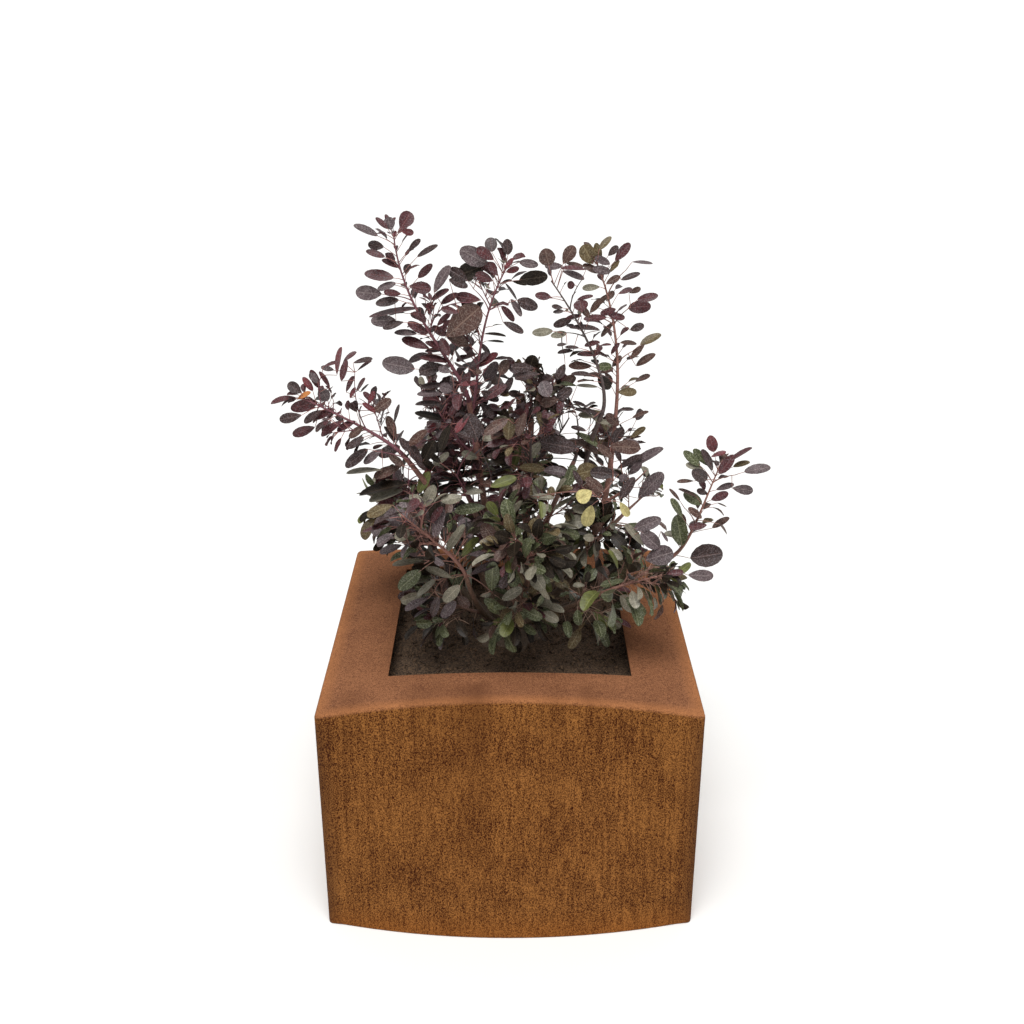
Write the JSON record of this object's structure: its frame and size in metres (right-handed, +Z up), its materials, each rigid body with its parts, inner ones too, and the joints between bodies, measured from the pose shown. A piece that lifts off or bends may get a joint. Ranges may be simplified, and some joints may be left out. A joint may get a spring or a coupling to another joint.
{
  "type": "potted smoke bush",
  "caption": "Purple-leaved smoke bush, many-stemmed and open-crowned, growing in a square box planter of rusted steel with a wide flat rim.",
  "frame": {"origin": "middle of the planter's flat underside", "axes": "+Z up along the plant, -Y towards the viewer of the picture, +X to that viewer's right"},
  "size_m": [0.8174, 0.6841, 1.1169],
  "materials": {
    "weathering_steel": "matte",
    "potting_soil": "matte",
    "bark": "matte",
    "purple_foliage": "matte"
  },
  "bodies": {
    "root": {"planter": "weathering_steel", "soil": "potting_soil", "root_crown": "bark", "stem_tall_left": "bark", "stem_tall_right": "bark", "stem_centre": "bark", "stem_left": "bark", "stem_front_left": "bark", "stem_right": "bark", "stem_front": "bark", "stem_front_right": "bark", "stem_back_left": "bark", "stem_back_right": "bark", "stem_back": "bark", "stem_left_low": "bark", "stem_right_back": "bark", "stem_right_inner": "bark", "leaves_top_left": "purple_foliage", "leaves_top_right": "purple_foliage", "leaves_inner_right": "purple_foliage", "leaves_centre_top": "purple_foliage", "leaves_left": "purple_foliage", "leaves_front_left": "purple_foliage", "leaves_far_right": "purple_foliage", "leaves_front": "purple_foliage", "leaves_front_right": "purple_foliage", "leaves_back_left": "purple_foliage", "leaves_back_right": "purple_foliage", "leaves_back": "purple_foliage", "leaves_left_low": "purple_foliage", "leaves_right_back": "purple_foliage", "leaves_top_middle": "purple_foliage", "leaves_shoulder_left": "purple_foliage", "leaves_mid_left": "purple_foliage", "leaves_behind_left": "purple_foliage", "leaves_mid_front": "purple_foliage", "leaves_mid_right": "purple_foliage", "leaves_low_centre": "purple_foliage", "leaves_behind_centre": "purple_foliage", "leaves_outer_right": "purple_foliage", "leaves_low_right": "purple_foliage", "leaves_behind_right": "purple_foliage", "leaves_arm_left": "purple_foliage", "leaves_foot_left": "purple_foliage", "leaves_foot_front": "purple_foliage", "leaves_foot_right": "purple_foliage", "leaves_foot_back": "purple_foliage"}
  },
  "joints": []
}
